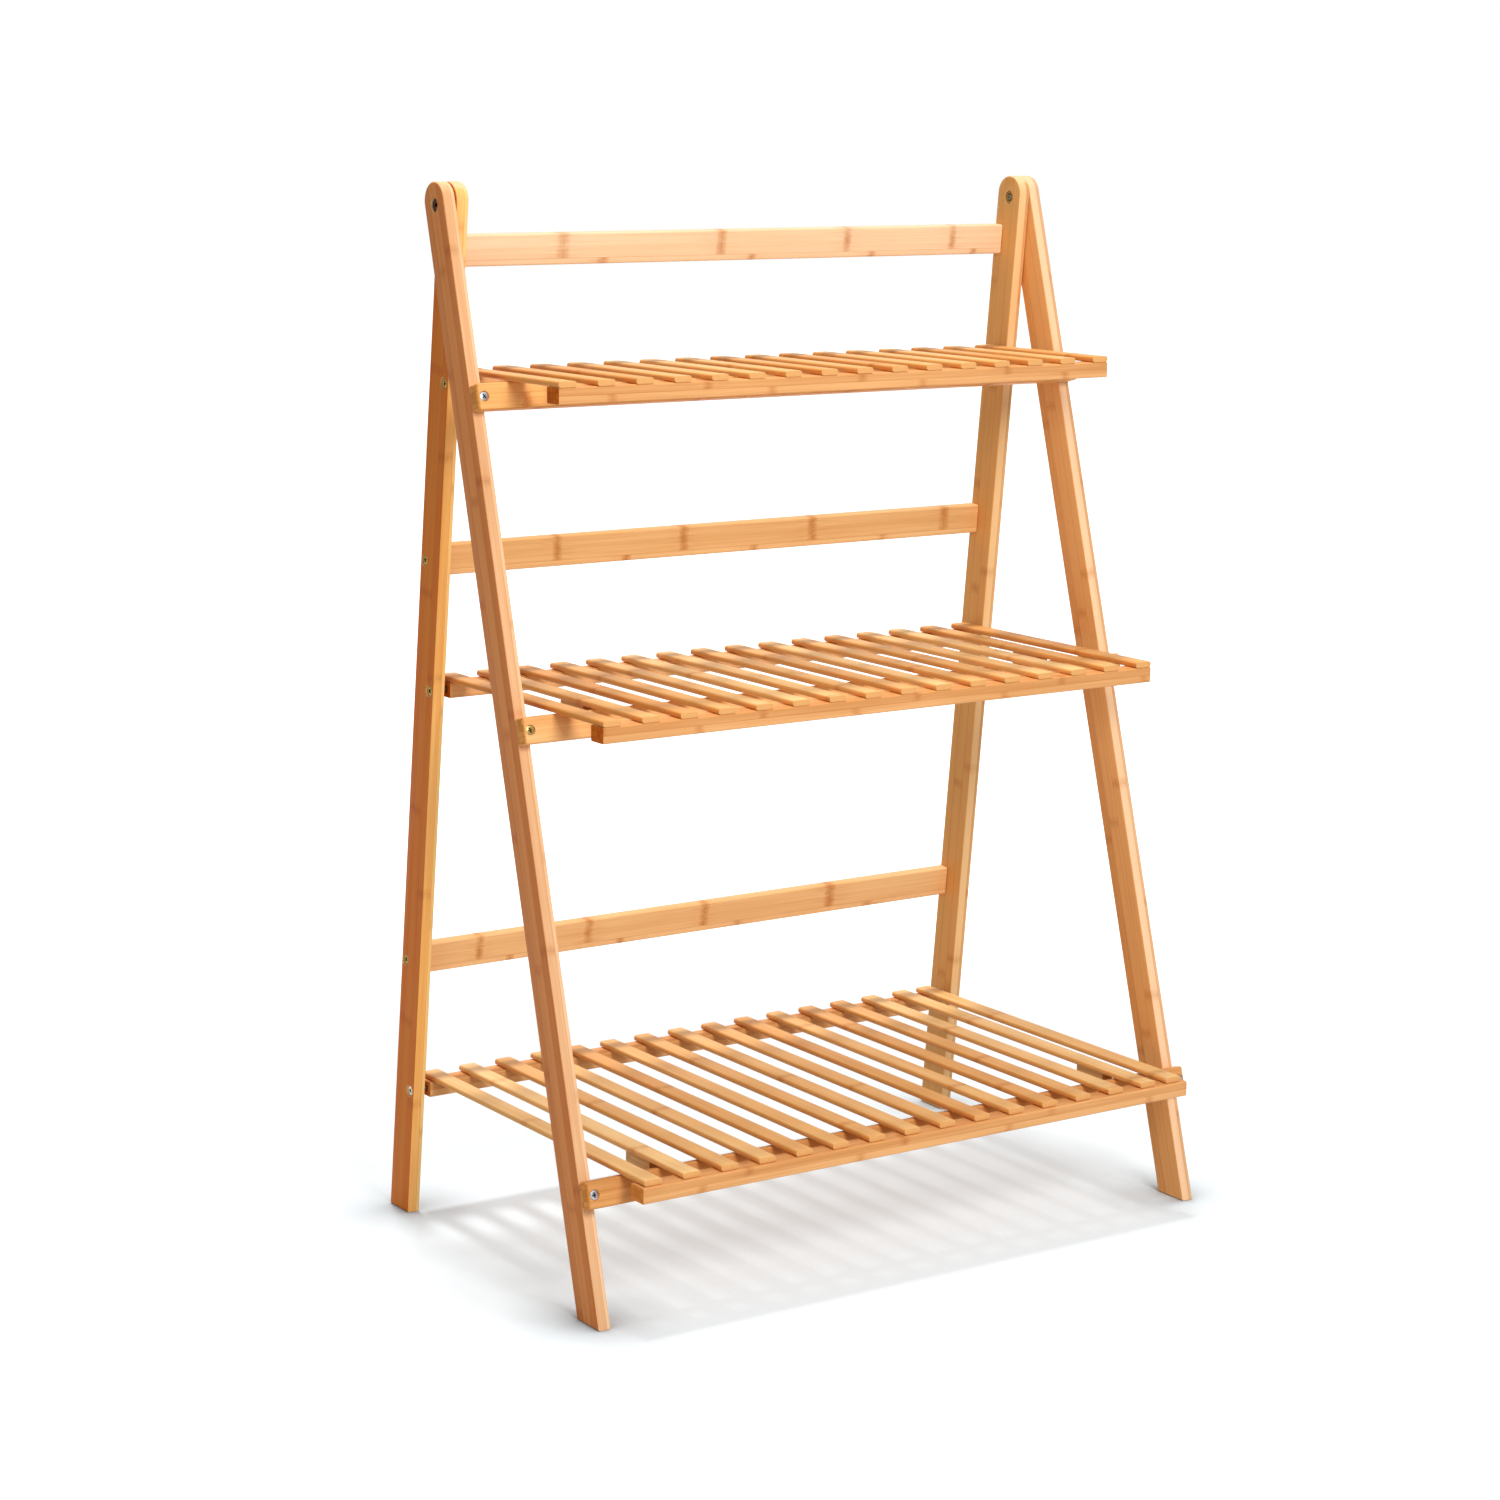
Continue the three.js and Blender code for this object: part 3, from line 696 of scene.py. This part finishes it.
for tier in tiers:
    makeBoard(f"cross_rail_{tier}_board", f"cross_rail_{tier}", frontFrame, axisX, axisZ,
              "front_frame", railLook[f"cross_{tier}"], railSeeds["cross"][tier],
              [screwHole(crossPlaces[tier, word], "cross") for word in sides])
    makeBoard(f"back_rail_{tier}_board", f"back_rail_{tier}", rearFrame, axisX, axisZ,
              "rear_frame", railLook[f"back_{tier}"], railSeeds["back"][tier],
              [screwHole(backPlaces[tier, word], "back") for word in sides])
    makeBoard(f"shelf_{tier}_rear_rail_board", f"shelf_{tier}_rear_rail", level, axisX, axisY,
              f"shelf_{tier}", railLook[f"shelf_{tier}"], railSeeds["shelf"][tier],
              [screwHole(shelfPlaces[tier, word], "shelf") for word in sides])

# shelves: slats on a front and a rear rail, with two stop blocks underneath
deckLook = {
    "slatWidth": 0.018, "slatThick": 0.0055, "railDepth": 0.020, "setback": 0.0003,
    "seat": 0.00005,
}
slatLook = {"edge": 0.0022, "endEdge": 0.0004, "strip": 0.022, "split": -0.011, "ply": 0.02,
            "seam": -0.01, "spacing": 0.24, "pale": (250, 196, 124), "deep": (235, 166, 91),
            "broad": (260, 283, 321), "end": (232, 174, 110), "contrast": 0.8, "rings": 0.6}
slatShades = {"top": (0.3, 1.0), "mid": (0.1, 0.9), "low": (0.0, 0.7)}
slatTan = (24, 52, 84)  # what a fully tan slat loses of red, green and blue
slatChances = random.Random(5)
seedRange = (0, 60)


# some slats are pale yellow, others tan
def slatTint(tier):
    shade = slatChances.uniform(*slatShades[tier])
    return tuple(255 - loss * shade for loss in slatTan)


for tier in ("top", "mid"):
    node = f"shelf_{tier}_deck"
    low, high = extent(node)
    rail = (Vector((low.x, low.y, low.z)),
            Vector((high.x, low.y + deckLook["railDepth"],
                    high.z - deckLook["slatThick"] - deckLook["seat"])))
    makeBoard(f"shelf_{tier}_front_rail_board", node, level, axisX, axisY, f"shelf_{tier}",
              railLook[f"shelf_{tier}"], railSeeds["front"][tier], [], box=rail)
    pitch = (high.x - low.x - deckLook["slatWidth"]) / (slatCount - 1)
    for k in range(slatCount):
        start = low.x + k * pitch
        box = (Vector((start, low.y + deckLook["setback"], high.z - deckLook["slatThick"])),
               Vector((start + deckLook["slatWidth"], high.y, high.z)))
        makeBoard(f"shelf_{tier}_slat_{k + 1:02d}_board", node, level, axisY, -axisX,
                  f"shelf_{tier}", slatLook, slatChances.uniform(*seedRange), [],
                  box=box, tint=slatTint(tier))

makeBoard("shelf_low_front_rail_board", "shelf_low_front_rail", level, axisX, axisY, "shelf_low",
          railLook["shelf_low"], railSeeds["front"]["low"], [])
for k in range(slatCount):
    node = f"shelf_low_slat_{k + 1:02d}"
    makeBoard(node + "_board", node, level, axisY, -axisX, "shelf_low", slatLook,
              slatChances.uniform(*seedRange), [], tint=slatTint("low"))

blockLook = {"edge": 0.0008, "endEdge": 0.0008, "strip": 0.009, "pale": (240, 200, 138),
             "deep": (214, 160, 96), "broad": (250, 238, 220), "end": (206, 154, 88),
             "contrast": 0.8, "rings": 0.3, "blocks": 0.6}
for tier in tiers:
    for word in sides:
        node = f"shelf_{tier}_stop_block_{word}"
        makeBoard(node + "_board", node, level, axisY, -axisX, f"shelf_{tier}", blockLook,
                  slatChances.uniform(*seedRange), [])

# fasteners
# dark: the colour of the random darker patches and of the painted shade below a piece's top
metalLooks = {
    "bright": {"name": "bright_zinc", "color": (196, 198, 204), "dark": (18, 18, 22),
               "roughness": 0.3, "depth": 0.0016},
    "dark": {"name": "dark_brass_plate", "color": (168, 140, 66), "dark": (12, 9, 4),
             "roughness": 0.3, "depth": 0.0014, "patchShare": 0.6,
             "tip": (150, 136, 104), "tipStart": 0.006},
    "brass": {"name": "brass_plate", "color": (206, 184, 116), "dark": (16, 12, 6),
              "roughness": 0.3, "depth": 0.0016},
    "pale": {"name": "pale_zinc", "color": (214, 208, 192), "dark": (16, 13, 10),
             "roughness": 0.32, "depth": 0.0014, "tip": (150, 142, 126), "tipStart": 0.006},
    "bolt": {"name": "bolt_steel", "color": (86, 60, 40), "dark": (10, 7, 5),
             "roughness": 0.4, "depth": 0.0018, "patchShare": 0.5,
             "tip": (128, 118, 102), "tipStart": boltHigh.x - boltLow.x - 0.004},
    "ring": {"name": "brass_ring", "color": (150, 112, 48), "dark": (52, 34, 10),
             "roughness": 0.34, "depth": 0.0034},
}
metals = {key: metalMaterial(**look) for key, look in metalLooks.items()}
screwLook = {
    "crown": ((0.35, 0.0), (0.8, 0.00006), (0.95, 0.0002)),  # share of the radius, and drop
    "pointLength": 0.004, "pointRadius": 0.0008,
}
# the slot's sizes are for a head of the radius given first
slotLook = {"head": 0.0045, "width": 0.0016, "length": 0.0056, "depth": 0.002,
            "lengthBelow": 0.45, "widthBelow": 0.7, "over": 0.0004}


# corners of one bar of a cross slot
def barPoints(length, width):
    return [(-length / 2, -width / 2), (length / 2, -width / 2), (length / 2, width / 2),
            (-length / 2, width / 2)]


# a cross-slot screw: dished rim, slightly crowned head, cone, shank and tapered point
def makeScrew(node, place, shank, body, metal, turn):
    head, length = place["head"], place["length"]
    rim = countersink["rim"]
    crown = [(head * share, -drop) for share, drop in screwLook["crown"]]
    screw = turnedMesh(node + "_metal", crown + [
        (head, -rim),
        (shank, -rim - (head - shank)),
        (shank, -length + screwLook["pointLength"]),
        (screwLook["pointRadius"], -length),
    ])
    scale = head / slotLook["head"]
    slotLength, slotWidth = slotLook["length"] * scale, slotLook["width"] * scale
    cutters = []
    for quarter in (0, math.pi / 2):
        bar = prismMesh(
            "slot",
            barPoints(slotLength, slotWidth),
            barPoints(slotLength * slotLook["lengthBelow"], slotWidth * slotLook["widthBelow"]),
            slotLook["over"], -slotLook["depth"] * scale)
        bar.matrix_world = Matrix.Rotation(quarter + turn, 4, "Z")
        cutters.append(bar)
    drill(screw, cutters)
    settle(screw, place["matrix"], body, [node], metals[metal])


turns = random.Random(11)
anyTurn = (0, 1.5)
for tier in tiers:
    for word in sides:
        makeScrew(f"cross_rail_{tier}_screw_{word}", crossPlaces[tier, word], shanks["cross"],
                  "front_frame", "brass" if tier == "mid" else "bright",
                  turns.uniform(*anyTurn))
        makeScrew(f"back_rail_{tier}_screw_{word}", backPlaces[tier, word], shanks["back"],
                  "rear_frame", "dark", turns.uniform(*anyTurn))
        makeScrew(f"shelf_{tier}_pivot_screw_{word}", shelfPlaces[tier, word], shanks["shelf"],
                  f"shelf_{tier}", "pale" if tier == "low" else "dark",
                  turns.uniform(*anyTurn))

# edges are rows of (in from the radius, in from the piece's end)
# a hole's edge is rows of (wider than the hole, height)
boltLook = {"head": 0.006, "headThick": 0.003, "shank": 0.003,
            "headEdge": ((0.0008, 0.0), (0.0002, 0.0003), (0.0, 0.0008)),
            "endEdge": ((0.0, 0.0012), (0.0004, 0.0004), (0.001, 0.0)),
            "socket": 0.0022, "socketDepth": 0.0019, "dimple": 0.0012, "over": 0.001}
nutLook = {"radius": 0.0059, "hole": 0.0033,
           "edge": ((0.0006, 0.0), (0.00018, 0.00018), (0.0, 0.0006)),
           "holeEdge": ((0.0012, 0.0004), (0.0008, 0.0), (0.0, -0.0008)), "over": 0.001}
hexTurns = {"left": 0.3, "right": 0.8}


def hexPoints(radius, turn):
    return [(radius * math.cos(math.pi / 3 * k + turn), radius * math.sin(math.pi / 3 * k + turn))
            for k in range(6)]


# a bolt through both legs, and the ring nut on its inner end
def makeHinge(word):
    direction = Vector((sides[word], 0, 0))
    place = screwPlace(f"hinge_bolt_{word}", level, direction)
    radius, shank, length = boltLook["head"], boltLook["shank"], place["length"]
    head = [(radius - inward, -down) for inward, down in boltLook["headEdge"]]
    end = [(shank - inward, -length + up) for inward, up in boltLook["endEdge"]]
    under = -boltLook["headThick"]
    bolt = turnedMesh(f"hinge_bolt_{word}_metal", head + [(radius, under), (shank, under)] + end)
    depth, over = boltLook["socketDepth"], boltLook["over"]
    hexagon = hexPoints(boltLook["socket"], hexTurns[word])
    outerCut = prismMesh("socket", hexagon, hexagon, over, -depth)
    dimple = hexPoints(boltLook["dimple"], hexTurns[word])
    innerCut = prismMesh("socket", dimple, dimple, -length + depth, -length - over)
    drill(bolt, [outerCut, innerCut])
    settle(bolt, place["matrix"], "front_frame", [f"hinge_bolt_{word}"],
           metals["bolt"])

    low, high = extent(f"hinge_nut_{word}")
    inner = min(abs(low.x), abs(high.x)) * sides[word]
    thick = high.x - low.x
    middle = Vector((inner, (low.y + high.y) / 2, (low.z + high.z) / 2))
    outline = [(nutLook["radius"] - inward, -down) for inward, down in nutLook["edge"]]
    nut = turnedMesh(f"hinge_nut_{word}_metal", outline + [(nutLook["radius"], -thick)])
    bore = [(nutLook["hole"] + wider, height) for wider, height in nutLook["holeEdge"]]
    hole = turnedMesh("hole", bore + [(nutLook["hole"], -thick - nutLook["over"])])
    drill(nut, [hole])
    settle(nut, facingMatrix(-direction, middle), "rear_frame", [f"hinge_nut_{word}"],
           metals["ring"])


for word in sides:
    makeHinge(word)

# floor, light and camera
studio = {
    "floorReach": 14, "floorDrop": 0.0004,
    "floorGlow": 0.48,  # part of the floor's brightness that shadows leave alone
    # painted contact shadow: the floor's glow dims close beside the feet
    "contactShadowReach": 0.08,  # reach of the darker floor beside the feet
    "contactShadowDepth": 4.0,  # how much darker it gets there
    "floorShade": {"near": (0.48, 0.535, 0.57, 1), "far": (0.50, 0.505, 0.51, 1)},
    "shadeFade": (0.35, 0.75),
    "floorColor": (200, 200, 200),
    "floorFade": (0.62, 1.15),  # radius at which the floor starts to turn plain white, and ends
    "worldLight": 0.4,
    "key": {"place": (-0.3, -2.3, 1.9), "aim": (0, 0, 0.55), "size": 1.2, "power": 49,
            "color": (1.0, 0.98, 0.955)},
    "overhead": {"place": (0.2, 1.2, 8.0), "aim": (0, 0, 0), "size": 0.9, "power": 355,
                 "color": (1.0, 0.985, 0.965)},
}


# 1 for rays from the camera and for those that metal and glass pass on
def shownToCamera(n):
    rays = n.add("ShaderNodeLightPath").outputs
    shown = n.math("ADD", rays["Is Camera Ray"], rays["Is Glossy Ray"], clamp=True)
    return n.math("ADD", shown, rays["Is Transmission Ray"], clamp=True)


# a pale floor that glows a little for the camera and keeps the stand's shadow
def makeFloor():
    bm = bmesh.new()
    bmesh.ops.create_grid(bm, x_segments=4, y_segments=4, size=studio["floorReach"])
    floor = finishMesh("floor", bm)
    floor.location = (0, 0, -studio["floorDrop"])
    material = bpy.data.materials.new("floor_pale")
    material.use_nodes = True
    n = Nodes(material.node_tree)
    tree = material.node_tree
    tree.nodes.remove(tree.nodes["Principled BSDF"])
    diffuse = n.add("ShaderNodeBsdfDiffuse", {"Color": linear(*studio["floorColor"])})
    coords = n.add("ShaderNodeTexCoord").outputs["Object"]
    radius = n.add("ShaderNodeVectorMath", {0: coords}, operation="LENGTH").outputs["Value"]
    # near the wood its warm light is evened out, so that the shadow is a plain grey
    shade = n.mix(n.fade(radius, *studio["shadeFade"]), studio["floorShade"]["far"],
                  studio["floorShade"]["near"])
    soft = n.add("ShaderNodeBsdfDiffuse", {"Color": shade})
    # painted contact shadow: the glow dims where the stand comes close over the floor
    clear = n.add("ShaderNodeAmbientOcclusion", {"Distance": studio["contactShadowReach"]}).outputs["AO"]
    clear = n.math("POWER", clear, studio["contactShadowDepth"])
    start, end = studio["floorFade"]
    strength = n.add(
        "ShaderNodeMapRange",
        {0: radius, 1: start, 2: end, 3: studio["floorGlow"], 4: 1.0},
        interpolation_type="SMOOTHSTEP",
    )
    strength = n.math("MULTIPLY", strength.outputs[0], clear)
    glow = n.add("ShaderNodeEmission", {"Color": (1, 1, 1, 1), "Strength": strength})
    both = n.add("ShaderNodeAddShader", {0: soft.outputs[0], 1: glow.outputs[0]})
    mixed = n.add("ShaderNodeMixShader", {0: shownToCamera(n), 1: diffuse.outputs[0],
                                          2: both.outputs[0]})
    tree.links.new(mixed.outputs[0], tree.nodes["Material Output"].inputs["Surface"])
    floor.data.materials.append(material)


# plain white behind the stand, dimmer as a light
def makeWorld():
    world = bpy.data.worlds.new("studio")
    world.use_nodes = True
    n = Nodes(world.node_tree)
    backdrop = world.node_tree.nodes["Background"]
    backdrop.inputs["Color"].default_value = (1, 1, 1, 1)
    strength = n.add("ShaderNodeMapRange", {0: shownToCamera(n), 1: 0.0, 2: 1.0,
                                            3: studio["worldLight"], 4: 1.0})
    world.node_tree.links.new(strength.outputs[0], backdrop.inputs["Strength"])
    bpy.context.scene.world = world


def makeLamp(name):
    look = studio[name]
    lamp = bpy.data.lights.new(name, "AREA")
    lamp.shape = "DISK"
    lamp.size = look["size"]
    lamp.energy = look["power"]
    lamp.color = look["color"]
    obj = bpy.data.objects.new(name, lamp)
    obj.location = look["place"]
    aim = Vector(look["aim"]) - Vector(look["place"])
    obj.rotation_euler = aim.to_track_quat("-Z", "Y").to_euler()
    bpy.context.scene.collection.objects.link(obj)


makeFloor()
makeWorld()
for name in ("key", "overhead"):
    makeLamp(name)

view = {
    "yaw": 32.4, "pitch": 8.5, "roll": 0.3,  # degrees
    "target": (-0.1125, 0.0768, 0.5625),  # y is counted from the top hinge
    "distance": 3.2031,
    "lens": 80.995,
    "shift": (0.1, -0.097),
    "sensor": 36,
    "clip": (0.05, 60),
}


def makeCamera():
    yaw, pitch, roll = (math.radians(view[k]) for k in ("yaw", "pitch", "roll"))
    forward = Vector((math.sin(yaw) * math.cos(pitch), math.cos(yaw) * math.cos(pitch),
                      -math.sin(pitch)))
    right = Vector((math.cos(yaw), -math.sin(yaw), 0))
    up = right.cross(forward)
    turnedRight = right * math.cos(roll) + up * math.sin(roll)
    turnedUp = up * math.cos(roll) - right * math.sin(roll)
    target = Vector(view["target"]) + Vector((0, pivot.y, 0))
    data = bpy.data.cameras.new("camera")
    data.sensor_width = view["sensor"]
    data.lens = view["lens"]
    data.shift_x, data.shift_y = view["shift"]
    data.clip_start, data.clip_end = view["clip"]
    camera = bpy.data.objects.new("camera", data)
    turn = Matrix((turnedRight, turnedUp, -forward)).transposed().to_4x4()
    camera.matrix_world = Matrix.Translation(target - forward * view["distance"]) @ turn
    bpy.context.scene.collection.objects.link(camera)
    bpy.context.scene.camera = camera


makeCamera()
bpy.context.scene.view_settings.view_transform = "Standard"
print("studio ready")
